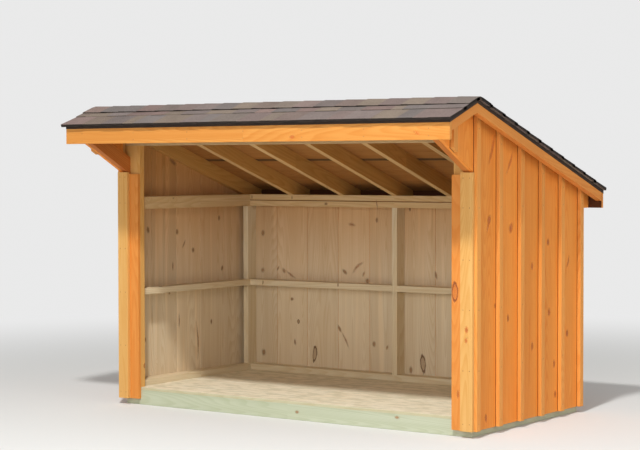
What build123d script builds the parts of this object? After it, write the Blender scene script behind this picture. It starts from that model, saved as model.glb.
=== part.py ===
from build123d import *
import math
import os

# Open-fronted log store: a deck on treated joists, stud walls on three sides, board-and-batten
# siding outside, and an offset gable roof whose short slope hangs over the open front.
# Millimetres, +X to the right along the open front, +Y to the back, +Z up.
# The origin is the middle of the floor frame's underside, at ground level.

# Timber sections
stud_thickness = 38.0
stud_width = 89.0
board_thickness = 22.0
trim_width = 76.0
trim_lap = 6.0
front_board_width = 136.0
batten_width = 41.0
batten_thickness = 22.0
deck_thickness = 16.0
sheathing_thickness = 15.0
soffit_thickness = 12.0

# Plan
floor_width = 2440.0
floor_depth = 1220.0
front_overhang = 365.0
rear_overhang = 103.0
side_overhang = 85.0

# Heights
siding_clearance = 36.0
back_plate_top = 1265.0
girt_underside = 665.0
corner_gap = 30.0
header_seat = 40.0
wing_head_rise = 20.0

# Roof
rear_slope = 1 / 3
front_slope = 0.375
ridge_forward = 109.0
shingle_thickness = 18.0
shingle_front_overhang = 28.0
shingle_rear_overhang = 6.0
shingle_side_overhang = 19.0
ridge_cap_width = 130.0
ridge_cap_thickness = 5.0
rake_height = 50.0
wing_slope = 0.53
fascia_height = 92.0
drip_thickness = 2.0
drip_drop = 3.0

# Repeats
joist_count = 5
rafter_count = 7
side_bays = 5
back_bays = 10
groove = 2.0

# Derived places in plan
half_width = floor_width / 2
front_y = -floor_depth / 2
back_y = floor_depth / 2
header_back = front_y + stud_width
post_back = front_y + stud_thickness
stud_back_inner = back_y - stud_width
corner_inner = half_width - corner_gap - stud_thickness
skin_x = half_width + board_thickness
skin_front = front_y - board_thickness
skin_back = back_y + board_thickness
trim_front = skin_front - board_thickness
fascia_front = trim_front - front_overhang
fascia_front_back = fascia_front + board_thickness
fascia_rear = skin_back + rear_overhang
fascia_rear_back = fascia_rear - board_thickness
board_inner = skin_x - front_board_width
side_run = stud_back_inner - post_back
side_middle = (stud_back_inner + post_back) / 2
rake_outer = skin_x + side_overhang
rake_inner = rake_outer - stud_thickness
ridge_y = skin_front - ridge_forward

# Derived heights
deck_top = stud_width + deck_thickness
plate_top = deck_top + stud_thickness
top_plate_height = 2 * stud_thickness
back_plate_bottom = back_plate_top - top_plate_height
rear_depth = stud_width * math.hypot(1, rear_slope)
front_depth = stud_width * math.hypot(1, front_slope)
ridge_underside = back_plate_top + (stud_back_inner - ridge_y) * rear_slope + rear_depth
sheathing_rise_rear = sheathing_thickness * math.hypot(1, rear_slope)
sheathing_rise_front = sheathing_thickness * math.hypot(1, front_slope)
shingle_rise_rear = shingle_thickness * math.hypot(1, rear_slope)
shingle_rise_front = shingle_thickness * math.hypot(1, front_slope)


def roof_underside(y):
    """Height of the sheathing's underside at a place in plan."""
    if y < ridge_y:
        return ridge_underside - (ridge_y - y) * front_slope
    return ridge_underside - (y - ridge_y) * rear_slope


def rear_rafter_bottom(y):
    """Height of a rear rafter's lower edge."""
    return roof_underside(y) - rear_depth


def front_rafter_bottom(y):
    """Height of a front rafter's lower edge."""
    return roof_underside(y) - front_depth


header_top = rear_rafter_bottom(header_back) + header_seat
header_underside = header_top - top_plate_height
wing_head = front_rafter_bottom(fascia_front_back) + wing_head_rise
trim_top = wing_head - (skin_front - fascia_front_back) * wing_slope


def wing_bottom(y):
    """Height of the slanted lower edge of the siding in front of the wall."""
    return trim_top + (skin_front - y) * wing_slope


eave_level = rear_rafter_bottom(fascia_rear_back)
soffit_top = eave_level + soffit_thickness
os.makedirs("parts", exist_ok=True)


def save(piece, name):
    """Label one finished piece and write it to its own file."""
    piece.part.label = name
    export_step(piece.part, f"parts/{name}.step")


# Floor frame of treated timber, with its joists between front and back rims
for name, rim_y in (("front_rim", front_y), ("back_rim", back_y - stud_thickness)):
    with BuildPart() as rim:
        with BuildSketch(Plane.YZ.offset(-half_width)):
            with Locations((rim_y + stud_thickness / 2, stud_width / 2)):
                Rectangle(stud_thickness, stud_width)
        extrude(amount=floor_width)
    save(rim, name)

joist_length = floor_depth - 2 * stud_thickness
joist_pitch = (floor_width - stud_thickness) / (joist_count - 1)
with BuildPart() as joists:
    with BuildSketch(Plane.XY):
        with GridLocations(joist_pitch, 0, joist_count, 1):
            Rectangle(stud_thickness, joist_length)
    extrude(amount=stud_width)
save(joists, "floor_joists")

with BuildPart() as deck:
    with BuildSketch(Plane.XY.offset(stud_width)):
        Rectangle(floor_width, floor_depth)
    extrude(amount=deck_thickness)
save(deck, "floor_deck")

# Bottom plates on the deck, the side ones between the front posts and the back wall
for name, side in (("left", -1), ("right", 1)):
    with BuildPart() as plate:
        with BuildSketch(Plane.XY.offset(deck_top)):
            with Locations((side * (half_width - stud_width / 2), side_middle)):
                Rectangle(stud_width, side_run)
        extrude(amount=stud_thickness)
    save(plate, f"{name}_bottom_plate")

with BuildPart() as back_bottom_plate:
    with BuildSketch(Plane.XY.offset(deck_top)):
        with Locations((0, back_y - stud_width / 2)):
            Rectangle(2 * corner_inner, stud_width)
    extrude(amount=stud_thickness)
save(back_bottom_plate, "back_bottom_plate")

# Flat front posts under the header, flush with the front boards' inner edges
post_width = half_width - board_inner
for name, side in (("left", -1), ("right", 1)):
    with BuildPart() as post:
        with BuildSketch(Plane.XY.offset(deck_top)):
            with Locations((side * (half_width - post_width / 2), front_y + stud_thickness / 2)):
                Rectangle(post_width, stud_thickness)
        extrude(amount=header_underside - deck_top)
    save(post, f"{name}_front_post")

# Back wall studs: one in the middle, and one near each corner that the girt divides
with BuildPart() as back_studs:
    with BuildSketch(Plane.XY.offset(plate_top)):
        with Locations((0, back_y - stud_width / 2)):
            Rectangle(stud_thickness, stud_width)
    extrude(amount=back_plate_bottom - plate_top)
save(back_studs, "back_studs")

girt_top = girt_underside + stud_thickness
with BuildPart() as corner_studs:
    for foot, head in ((deck_top, girt_underside), (girt_top, back_plate_bottom)):
        with BuildSketch(Plane.XY.offset(foot)):
            with Locations((0, back_y - stud_width / 2)):
                with GridLocations(2 * corner_inner + stud_thickness, 0, 2, 1):
                    Rectangle(stud_thickness, stud_width)
        extrude(amount=head - foot)
save(corner_studs, "corner_studs")

# Girts at mid height, flat from the middle stud to the side walls and along them
girt_back_length = half_width - stud_thickness / 2
with BuildPart() as back_girts:
    with BuildSketch(Plane.XY.offset(girt_underside)):
        for side in (-1, 1):
            with Locations((side * (stud_thickness + girt_back_length) / 2, back_y - stud_width / 2)):
                Rectangle(girt_back_length, stud_width)
    extrude(amount=stud_thickness)
save(back_girts, "back_girts")

with BuildPart() as side_girts:
    with BuildSketch(Plane.XY.offset(girt_underside)):
        with Locations((0, side_middle)):
            with GridLocations(floor_width - stud_width, 0, 2, 1):
                Rectangle(stud_width, side_run)
    extrude(amount=stud_thickness)
save(side_girts, "side_girts")

# Double top plates: side plates between post and back wall, back plates over the full width
def plate_profile(width, height):
    """Section of two plates nailed together, with a groove at their joint on both faces."""
    with BuildSketch(mode=Mode.PRIVATE) as section:
        Rectangle(width, height)
        with Locations(Location((-width / 2, 0, 0), (0, 0, 45)), Location((width / 2, 0, 0), (0, 0, 45))):
            Rectangle(groove, groove, mode=Mode.SUBTRACT)
    return section.sketch


for name, side in (("left", -1), ("right", 1)):
    with BuildPart() as top_plate:
        with BuildSketch(Plane.XZ.offset(-post_back)):
            with Locations((side * (half_width - stud_width / 2), back_plate_top - stud_thickness)):
                add(plate_profile(stud_width, top_plate_height))
        extrude(amount=-side_run)
    save(top_plate, f"{name}_top_plate")

for name, plate_y, plate_z in (
    ("back_top_plate", back_y - stud_width / 2, back_plate_top - stud_thickness),
    ("front_header", front_y + stud_width / 2, header_underside + stud_thickness),
):
    with BuildPart() as long_plate:
        with BuildSketch(Plane.YZ.offset(-half_width)):
            with Locations((plate_y, plate_z)):
                add(plate_profile(stud_width, top_plate_height))
        extrude(amount=floor_width)
    save(long_plate, name)

# Rear rafters, notched over the header and the back plate, with a level cut over the soffit
rafter_pitch = (floor_width - stud_thickness) / (rafter_count - 1)
ridge_board_back = ridge_y + stud_thickness / 2
ridge_board_front = ridge_y - stud_thickness / 2
level_start = back_y + (rear_rafter_bottom(back_y) - soffit_top) / rear_slope
with BuildPart() as rear_rafters:
    for number in range(rafter_count):
        left_face = -half_width + number * rafter_pitch
        with BuildSketch(Plane.YZ.offset(left_face)):
            with BuildLine():
                Polyline(
                    (ridge_board_back, roof_underside(ridge_board_back)),
                    (fascia_rear_back, roof_underside(fascia_rear_back)),
                    (fascia_rear_back, soffit_top),
                    (level_start, soffit_top),
                    (back_y, rear_rafter_bottom(back_y)),
                    (back_y, back_plate_top),
                    (stud_back_inner, back_plate_top),
                    (header_back, rear_rafter_bottom(header_back)),
                    (header_back, header_top),
                    (front_y, header_top),
                    (front_y, rear_rafter_bottom(front_y)),
                    (ridge_board_back, rear_rafter_bottom(ridge_board_back)),
                    close=True,
                )
            make_face()
        extrude(amount=stud_thickness)
save(rear_rafters, "rear_rafters")

# Short front rafters from the ridge board down to the front fascia
with BuildPart() as front_rafters:
    for number in range(rafter_count):
        left_face = -half_width + number * rafter_pitch
        with BuildSketch(Plane.YZ.offset(left_face)):
            with BuildLine():
                Polyline(
                    (ridge_board_front, roof_underside(ridge_board_front)),
                    (fascia_front_back, roof_underside(fascia_front_back)),
                    (fascia_front_back, front_rafter_bottom(fascia_front_back)),
                    (ridge_board_front, front_rafter_bottom(ridge_board_front)),
                    close=True,
                )
            make_face()
        extrude(amount=stud_thickness)
save(front_rafters, "front_rafters")

# Ridge board between the rafters' upper ends
ridge_board_bottom = front_rafter_bottom(ridge_board_front)
with BuildPart() as ridge_board:
    with BuildSketch(Plane.YZ.offset(-half_width)):
        with BuildLine():
            Polyline(
                (ridge_board_front, ridge_board_bottom),
                (ridge_board_back, ridge_board_bottom),
                (ridge_board_back, roof_underside(ridge_board_back)),
                (ridge_y, ridge_underside),
                (ridge_board_front, roof_underside(ridge_board_front)),
                close=True,
            )
        make_face()
    extrude(amount=floor_width)
save(ridge_board, "ridge_board")

# Braces inside the wings that carry the front overhang at each end wall
brace_depth = stud_width * math.hypot(1, wing_slope)
brace_foot = wing_bottom(front_y)
front_bottom_at_ridge = front_rafter_bottom(ridge_y)
brace_head_upper = (brace_foot + brace_depth + front_y * wing_slope
                    - front_bottom_at_ridge + ridge_y * front_slope) / (wing_slope + front_slope)
brace_head_lower = brace_head_upper - brace_depth / (wing_slope + front_slope)
for name, side in (("left", -1), ("right", 1)):
    with BuildPart() as brace:
        with BuildSketch(Plane.YZ.offset(side * half_width)):
            with BuildLine():
                Polyline(
                    (front_y, brace_foot),
                    (front_y, brace_foot + brace_depth),
                    (brace_head_upper, front_rafter_bottom(brace_head_upper)),
                    (brace_head_lower, front_rafter_bottom(brace_head_lower)),
                    close=True,
                )
            make_face()
        extrude(amount=-side * stud_thickness)
    save(brace, f"{name}_brace")

# Side siding, with the wing in front of the wall and the short return behind it
for name, side in (("left", -1), ("right", 1)):
    with BuildPart() as siding:
        with BuildSketch(Plane.YZ.offset(side * half_width)):
            with BuildLine():
                Polyline(
                    (skin_front, siding_clearance),
                    (skin_front, wing_bottom(skin_front)),
                    (fascia_front_back, wing_bottom(fascia_front_back)),
                    (fascia_front_back, roof_underside(fascia_front_back)),
                    (ridge_y, ridge_underside),
                    (fascia_rear_back, roof_underside(fascia_rear_back)),
                    (fascia_rear_back, eave_level),
                    (back_y, eave_level),
                    (back_y, siding_clearance),
                    close=True,
                )
            make_face()
        extrude(amount=side * board_thickness)
    save(siding, f"{name}_siding")

with BuildPart() as back_siding:
    with BuildSketch(Plane.XZ.offset(-back_y)):
        with Locations((0, (siding_clearance + eave_level) / 2)):
            Rectangle(2 * skin_x, eave_level - siding_clearance)
    extrude(amount=-board_thickness)
save(back_siding, "back_siding")

# Battens over the board joints of the side walls, with one more on each wing
side_batten_pitch = (back_y - skin_front - batten_width) / side_bays
for name, side in (("left", -1), ("right", 1)):
    with BuildPart() as side_battens:
        for number in range(-1, side_bays + 1):
            batten_front = skin_front + number * side_batten_pitch
            batten_back = batten_front + batten_width
            foot_front = wing_bottom(batten_front) if number < 0 else siding_clearance
            foot_back = wing_bottom(batten_back) if number < 0 else siding_clearance
            with BuildSketch(Plane.YZ.offset(side * skin_x)):
                with BuildLine():
                    Polyline(
                        (batten_front, foot_front),
                        (batten_back, foot_back),
                        (batten_back, roof_underside(batten_back)),
                        (batten_front, roof_underside(batten_front)),
                        close=True,
                    )
                make_face()
            extrude(amount=side * batten_thickness)
    save(side_battens, f"{name}_battens")

back_batten_pitch = (2 * skin_x - batten_width) / back_bays
with BuildPart() as back_battens:
    with BuildSketch(Plane.XY.offset(siding_clearance)):
        with Locations((0, skin_back + batten_thickness / 2)):
            with GridLocations(back_batten_pitch, 0, back_bays + 1, 1):
                Rectangle(batten_width, batten_thickness)
    extrude(amount=eave_level - siding_clearance)
save(back_battens, "back_battens")

# Front boards on the posts, with the corner trims over them
for name, side in (("left", -1), ("right", 1)):
    with BuildPart() as front_board:
        with BuildSketch(Plane.XY.offset(siding_clearance)):
            with Locations((side * (half_width - post_width / 2), front_y - board_thickness / 2)):
                Rectangle(post_width, board_thickness)
        extrude(amount=brace_foot - siding_clearance)
    save(front_board, f"{name}_front_board")

    with BuildPart() as corner_trim:
        with BuildSketch(Plane.XY.offset(siding_clearance)):
            with Locations((side * (skin_x + trim_lap - trim_width / 2), skin_front - board_thickness / 2)):
                Rectangle(trim_width, board_thickness)
        extrude(amount=trim_top - siding_clearance)
    save(corner_trim, f"{name}_corner_trim")

# Fascia boards at both eaves
for name, face, direction in (("front_fascia", fascia_front, 1), ("rear_fascia", fascia_rear, -1)):
    inner = face + direction * board_thickness
    bottom = roof_underside(face) - fascia_height if direction > 0 else eave_level
    with BuildPart() as fascia:
        with BuildSketch(Plane.YZ.offset(-rake_outer)):
            with BuildLine():
                Polyline(
                    (face, bottom),
                    (inner, bottom),
                    (inner, roof_underside(inner)),
                    (face, roof_underside(face)),
                    close=True,
                )
            make_face()
        extrude(amount=2 * rake_outer)
    save(fascia, name)

# Rake boards under the roof's side edges, mitred at the ridge
rake_drop_front = rake_height * math.hypot(1, front_slope)
rake_drop_rear = rake_height * math.hypot(1, rear_slope)
mitre_drop = rake_height / math.cos((math.atan(front_slope) + math.atan(rear_slope)) / 2)
for name, side in (("left", -1), ("right", 1)):
    with BuildPart() as rake:
        with BuildSketch(Plane.YZ.offset(side * rake_inner)):
            with BuildLine():
                Polyline(
                    (fascia_front_back, roof_underside(fascia_front_back) - rake_drop_front),
                    (fascia_front_back, roof_underside(fascia_front_back)),
                    (ridge_y, ridge_underside),
                    (fascia_rear_back, roof_underside(fascia_rear_back)),
                    (fascia_rear_back, roof_underside(fascia_rear_back) - rake_drop_rear),
                    (ridge_y, ridge_underside - mitre_drop),
                    close=True,
                )
            make_face()
        extrude(amount=side * stud_thickness)
    save(rake, f"{name}_rake_board")

# Soffit that closes the rear eave
with BuildPart() as soffit:
    with BuildSketch(Plane.XY.offset(eave_level)):
        with Locations((0, (back_y + fascia_rear_back) / 2)):
            Rectangle(floor_width, fascia_rear_back - back_y)
    extrude(amount=soffit_thickness)
save(soffit, "rear_soffit")


def slope_layer(name, low_y, rise_from, rise_to, half_length):
    """One flat layer of the roof from the ridge to a place near an eave."""
    with BuildPart() as layer:
        with BuildSketch(Plane.YZ.offset(-half_length)):
            with BuildLine():
                Polyline(
                    (ridge_y, ridge_underside + rise_from),
                    (low_y, roof_underside(low_y) + rise_from),
                    (low_y, roof_underside(low_y) + rise_to),
                    (ridge_y, ridge_underside + rise_to),
                    close=True,
                )
            make_face()
        extrude(amount=2 * half_length)
    save(layer, name)


# Sheathing and shingles of both slopes
shingle_front = fascia_front - shingle_front_overhang
shingle_rear = fascia_rear + shingle_rear_overhang
shingle_side = rake_outer + shingle_side_overhang
slope_layer("rear_sheathing", fascia_rear, 0, sheathing_rise_rear, rake_outer)
slope_layer("front_sheathing", fascia_front, 0, sheathing_rise_front, rake_outer)
slope_layer("rear_shingles", shingle_rear, sheathing_rise_rear,
            sheathing_rise_rear + shingle_rise_rear, shingle_side)
slope_layer("front_shingles", shingle_front, sheathing_rise_front,
            sheathing_rise_front + shingle_rise_front, shingle_side)

# Ridge cap bent over both slopes
cap_front = ridge_y - ridge_cap_width * math.cos(math.atan(front_slope))
cap_rear = ridge_y + ridge_cap_width * math.cos(math.atan(rear_slope))
cover_rear = sheathing_rise_rear + shingle_rise_rear
cover_front = sheathing_rise_front + shingle_rise_front
cover_ridge = max(cover_rear, cover_front)
with BuildPart() as ridge_cap:
    with BuildSketch(Plane.YZ.offset(-shingle_side)):
        with BuildLine():
            Polyline(
                (cap_front, roof_underside(cap_front) + cover_front),
                (cap_front, roof_underside(cap_front) + cover_front + ridge_cap_thickness),
                (ridge_y, ridge_underside + cover_ridge + ridge_cap_thickness),
                (cap_rear, roof_underside(cap_rear) + cover_rear + ridge_cap_thickness),
                (cap_rear, roof_underside(cap_rear) + cover_rear),
                (ridge_y, ridge_underside + cover_rear),
                (ridge_y, ridge_underside + cover_front),
                close=True,
            )
        make_face()
    extrude(amount=2 * shingle_side)
save(ridge_cap, "ridge_cap")

# Drip edges: a folded metal strip that hangs over each eave and rake from under the shingles
for name, face, direction in (("front_drip_edge", fascia_front, -1), ("rear_drip_edge", fascia_rear, 1)):
    outer = face + direction * drip_thickness
    rise = sheathing_rise_front if direction < 0 else sheathing_rise_rear
    with BuildPart() as eave_drip:
        with BuildSketch(Plane.YZ.offset(-rake_outer)):
            with BuildLine():
                Polyline(
                    (face, roof_underside(face) - drip_drop),
                    (outer, roof_underside(face) - drip_drop),
                    (outer, roof_underside(outer) + rise),
                    (face, roof_underside(face) + rise),
                    close=True,
                )
            make_face()
        extrude(amount=2 * rake_outer)
    save(eave_drip, name)

with BuildPart() as rake_drips:
    for side in (-1, 1):
        with BuildSketch(Plane.YZ.offset(side * rake_outer)):
            with BuildLine():
                Polyline(
                    (fascia_front, roof_underside(fascia_front) - drip_drop),
                    (fascia_front, roof_underside(fascia_front) + sheathing_rise_front),
                    (ridge_y, ridge_underside + min(sheathing_rise_front, sheathing_rise_rear)),
                    (fascia_rear, roof_underside(fascia_rear) + sheathing_rise_rear),
                    (fascia_rear, roof_underside(fascia_rear) - drip_drop),
                    (ridge_y, ridge_underside - drip_drop),
                    close=True,
                )
            make_face()
        extrude(amount=side * drip_thickness)
save(rake_drips, "rake_drip_edges")
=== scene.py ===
import math

import bpy
import numpy as np
from mathutils import Euler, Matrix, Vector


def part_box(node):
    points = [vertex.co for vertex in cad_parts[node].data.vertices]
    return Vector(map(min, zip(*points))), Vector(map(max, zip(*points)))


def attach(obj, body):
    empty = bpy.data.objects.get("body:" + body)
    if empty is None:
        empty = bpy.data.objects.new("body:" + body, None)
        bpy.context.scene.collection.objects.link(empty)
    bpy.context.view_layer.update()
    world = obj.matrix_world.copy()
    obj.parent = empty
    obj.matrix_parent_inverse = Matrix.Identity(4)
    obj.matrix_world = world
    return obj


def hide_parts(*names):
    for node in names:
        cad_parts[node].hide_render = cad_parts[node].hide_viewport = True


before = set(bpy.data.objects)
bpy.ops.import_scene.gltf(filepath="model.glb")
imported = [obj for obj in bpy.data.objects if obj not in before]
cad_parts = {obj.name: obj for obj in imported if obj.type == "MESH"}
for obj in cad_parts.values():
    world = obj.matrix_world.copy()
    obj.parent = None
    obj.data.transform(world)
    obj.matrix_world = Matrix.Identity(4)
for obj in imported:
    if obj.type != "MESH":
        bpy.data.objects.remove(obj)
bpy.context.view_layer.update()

bl_info = {
    "name": "Log store",
    "version": (1, 0, 0),
    "blender": (4, 5, 0),
    "location": "View3D > Sidebar > Log store",
    "description": "Boards, shingles, nails and wood finishes of an open-fronted log store",
    "category": "Object",
}

# Places that come from the frame, in metres
SIDING_LOW, SIDING_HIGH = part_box("right_siding")
BACK_LOW, BACK_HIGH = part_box("back_siding")
PLATE_LOW, PLATE_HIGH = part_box("back_top_plate")
FASCIA_LOW, FASCIA_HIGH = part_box("front_fascia")
TRIM_LOW, TRIM_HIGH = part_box("right_corner_trim")
PANELS_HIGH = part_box("rear_sheathing")[1]
SHINGLE_LOW, SHINGLE_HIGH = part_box("front_shingles")
REAR_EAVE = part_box("rear_shingles")[1][1]
BATTEN_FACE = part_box("right_battens")[1][0]
RIM_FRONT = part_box("front_rim")[0][1]
BOARD_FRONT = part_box("right_front_board")[0][1]
RIDGE_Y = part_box("front_sheathing")[1][1]
RIDGE_Z = SIDING_HIGH[2]
SKIN_FRONT, TRIM_TOP = TRIM_HIGH[1], TRIM_HIGH[2]
SKIN_X, WALL_X = SIDING_HIGH[0], SIDING_LOW[0]
WALL_BACK = BACK_LOW[1]

# Slopes as rise over run, and sizes of the timber and the roof in metres
REAR_SLOPE, FRONT_SLOPE, WING_SLOPE = 1 / 3, 0.375, 0.53
REAR_ANGLE, FRONT_ANGLE, WING_ANGLE = map(math.atan, (REAR_SLOPE, FRONT_SLOPE, WING_SLOPE))
HALF_STUD = 0.019
BATTEN_WIDTH = 0.041
BATTEN_DEPTH = 0.022
# Width of the painted shade lines beside the battens
PAINTED_SHADE_LINE_WIDTH = 0.008
SKIN_DEPTH = 0.004
SHEATHING = 0.015
SHINGLES = 0.018
PANEL_JOINT = 0.131
PANEL_GAP = 0.003
BOARD_GAP = 0.0016
BOARD_LEAN = 0.0006
OFF_FRAMING = 0.0002
EDGE_ROUND = 0.0015
SIDE_BAYS, BACK_BAYS, RAFTER_BAYS = 5, 10, 6
BATTEN_MIDDLE = SKIN_FRONT + BATTEN_WIDTH / 2
BACK_MIDDLE = -SKIN_X + BATTEN_WIDTH / 2
SIDE_PITCH = (WALL_BACK - SKIN_FRONT - BATTEN_WIDTH) / SIDE_BAYS
BACK_PITCH = (2 * SKIN_X - BATTEN_WIDTH) / BACK_BAYS
RAFTER_PITCH = (2 * WALL_X - 2 * HALF_STUD) / RAFTER_BAYS

# Shift and scale that give like pieces cells of their own: along Y, along X, or left and right
SIDE_STEP = ((0, -BATTEN_MIDDLE + SIDE_PITCH / 2, 0), (0.5, 1 / SIDE_PITCH, 0))
BACK_STEP = ((BACK_PITCH / 2, 0, 0), (1 / BACK_PITCH, 0, 0))
RAFTER_STEP = ((WALL_X - HALF_STUD + RAFTER_PITCH / 2, 0, 0), (1 / RAFTER_PITCH, 0, 0))
HALVES = ((0, 0, 0), (0.5, 0.5, 0.5))

# Shingle courses, in metres. A shingle is thinner than the roof's SHINGLES by these amounts at
# a thin and a thick butt, under the next course and at its head
THINNER = (0.0025, 0.0006, 0.005, 0.006)
TAB_SLOT, TAB_WIDTHS, OFF_DECK = 0.0012, (0.07, 0.2), 0.0003
COURSE_LAP, COURSE_GAP, SHORTEST_COURSE, SHORTEST_TAB = 0.03, 0.002, 0.02, 0.05
COURSE_POINTS = 8

# Cap shingles, nails and knots, in metres
CAP_REVEAL, CAP_LAP, CAP_WIDTH = 0.142, 0.05, 0.122
CAP_BUTT, CAP_TOP, CAP_HEAD, CAP_UNDER = 0.0036, 0.0046, 0.0012, 0.0065
CAP_BEND, CAP_BEND_REACH, CAP_SINK = 0.004, 0.02, 0.0006
NAIL_LEVELS = np.array([0.075, 0.36, 0.684, 0.95, 1.227])
NAIL_RADIUS, NAIL_HEIGHT, KNOT_HEIGHT = 0.003, 0.0008, 0.0009
NAIL_UNDER_ROOF, NAIL_UNDER_TOP = 0.09, 0.03
TRIM_NAILS, FASCIA_NAILS = (0.018, 0.058), (0.022, 0.04)


def linear(red, green, blue):
    """A display colour of 0 to 255 as the linear colour that the shaders read."""
    value = np.array([red, green, blue]) / 255
    curve = ((value + 0.055) / 1.055) ** 2.4
    return tuple(np.where(value <= 0.04045, value / 12.92, curve).tolist())


def roof_underside(y):
    """Height of the roof boards' underside: two straight slopes that meet at the ridge."""
    ahead = RIDGE_Y - np.asarray(y, float)
    return RIDGE_Z - np.where(ahead > 0, ahead * FRONT_SLOPE, -ahead * REAR_SLOPE)


def wing_bottom(y):
    """Height of the slanted lower edge of the wing, a straight line that rises to the front."""
    return TRIM_TOP + (SKIN_FRONT - np.asarray(y, float)) * WING_SLOPE


def level(height):
    """The straight edge of boards that all end at one height."""
    return lambda along: np.full(np.shape(along), height)


# Meshes

def close_rings(count, rings, points):
    """Quads that join the rings of closed prisms, whose vertices are numbered ring by ring.

    Point j of a ring joins its neighbour at j + 1 and both in the next ring. Each end is closed by
    strips between point j and its opposite n - 1 - j.
    """
    index = np.arange(count * rings * points).reshape(count, rings, points)
    ahead = np.roll(index, -1, axis=2)
    parts = [np.stack([index[:, :-1], ahead[:, :-1], ahead[:, 1:], index[:, 1:]], axis=-1)]
    near = np.arange(points // 2 - 1)
    for ring, turn in ((index[:, 0], -1), (index[:, -1], 1)):
        corners = (near, near + 1, points - 2 - near, points - 1 - near)
        parts.append(np.stack([ring[:, corner] for corner in corners], axis=-1)[..., ::turn])
    return np.concatenate([part.reshape(-1, 4) for part in parts])


def skin(stack, wall_material=0, end_material=0):
    """Closed prisms from a (prisms, stations, points, 3) stack of rings.

    Returns vertices, faces and the number of each face's material.
    """
    prisms, stations, points = stack.shape[:3]
    faces = close_rings(prisms, stations, points)
    walls = np.broadcast_to(wall_material, (prisms, stations - 1, points)).reshape(-1)
    ends = np.full(len(faces) - len(walls), end_material)
    return stack.reshape(-1, 3), faces, np.concatenate([walls, ends])


def signed_volume(vertices, faces):
    """Sum of the signed tetrahedra from the origin to each half of each quad."""
    a, b, c, d = (vertices[faces[:, k]] for k in range(4))
    return float((np.cross(a, b) * c).sum() + (np.cross(a, c) * d).sum())


def make_piece(name, slot, nodes, materials, vertices, faces, marks=None, **values):
    """A mesh object at the origin that faces outwards, tied to the frame.

    slot is not used. nodes are those that it stands for. marks holds the number of each
    face's material, and values are named point attributes.
    """
    mesh = bpy.data.meshes.new(name)
    mesh.from_pydata(vertices.tolist(), [], faces.tolist())
    for material in materials:
        mesh.materials.append(material)
    if marks is not None:
        mesh.polygons.foreach_set("material_index", np.asarray(marks, np.int32))
    for key, array in values.items():
        array = np.asarray(array, np.float32)
        kind, field = ("FLOAT", "value") if array.ndim == 1 else ("FLOAT_VECTOR", "vector")
        mesh.attributes.new(key, kind, "POINT").data.foreach_set(field, array.reshape(-1))
    mesh.validate()
    mesh.update()
    piece = bpy.data.objects.new(name, mesh)
    bpy.context.scene.collection.objects.link(piece)
    if signed_volume(vertices, faces) < 0:
        mesh.flip_normals()
    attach(piece, "root")
    if nodes:
        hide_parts(*nodes)


def board_prism(first, last, low, high, outer, inner, stations=9, rounding=EDGE_ROUND):
    """One upright board as rings carried upwards.

    Across it the ring runs over the outer face and back over the inner face. Near an edge each
    face falls back by a quarter circle of the rounding's radius, with points close together there
    and even between. Upwards it goes straight from low(u) to high(u). Returns (stations, points)
    arrays of across, depth and height.
    """
    width = last - first
    edge = rounding * np.array([0.0, 0.3, 1.0])
    middle = np.linspace(rounding, width - rounding, 9)[1:-1]
    place = np.concatenate([edge, middle, width - edge[::-1]])
    inward = np.clip(np.minimum(place, width - place), 0, rounding)
    fall = rounding - np.sqrt(np.maximum(rounding ** 2 - (rounding - inward) ** 2, 0))
    across = np.concatenate([first + place, (first + place)[::-1]])
    depth = np.concatenate([outer - fall, (inner + fall)[::-1]])
    bottom, top = low(across), high(across)
    height = bottom + np.linspace(0, 1, stations)[:, None] * (top - bottom)
    return np.broadcast_to(across, height.shape), np.broadcast_to(depth, height.shape), height


def board_wall(label, spans, top, outer, inner, side, chance, stained=()):
    """The boards of one wall, stained outside and bare inside.

    spans holds the first and last place along the wall and the lower edge of each board. side is
    -1 or 1 for a wall that faces along X, or 0 for the back wall. The boards numbered in stained
    show outside on both faces.
    """
    boards, grain, tone = [], [], []
    for first, last, low in spans:
        seed, lean = chance.random(), chance.random()
        along, depth, height = board_prism(
            first + BOARD_GAP / 2, last - BOARD_GAP / 2, low, top,
            outer - BOARD_LEAN * lean, inner + OFF_FRAMING + BOARD_LEAN * lean)
        place = (side * depth, along) if side else (along, depth)
        boards.append(np.stack([*place, height], axis=-1))
        grain.append(np.stack([along - first, depth - inner, height], axis=-1))
        tone.append(np.full(height.shape, seed))
    points = boards[0].shape[1]
    bare_face = np.arange(points) >= points // 2
    bare_board = ~np.isin(np.arange(len(boards)), stained)
    shape = skin(np.stack(boards), (bare_board[:, None, None] & bare_face).astype(int))
    make_piece(f"{label}_siding_boards", "stained_pine", (f"{label}_siding",),
               [finish("stained_boards"), finish("bare_boards")], *shape,
               grain=np.stack(grain).reshape(-1, 3), tone=np.stack(tone).reshape(-1))


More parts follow.
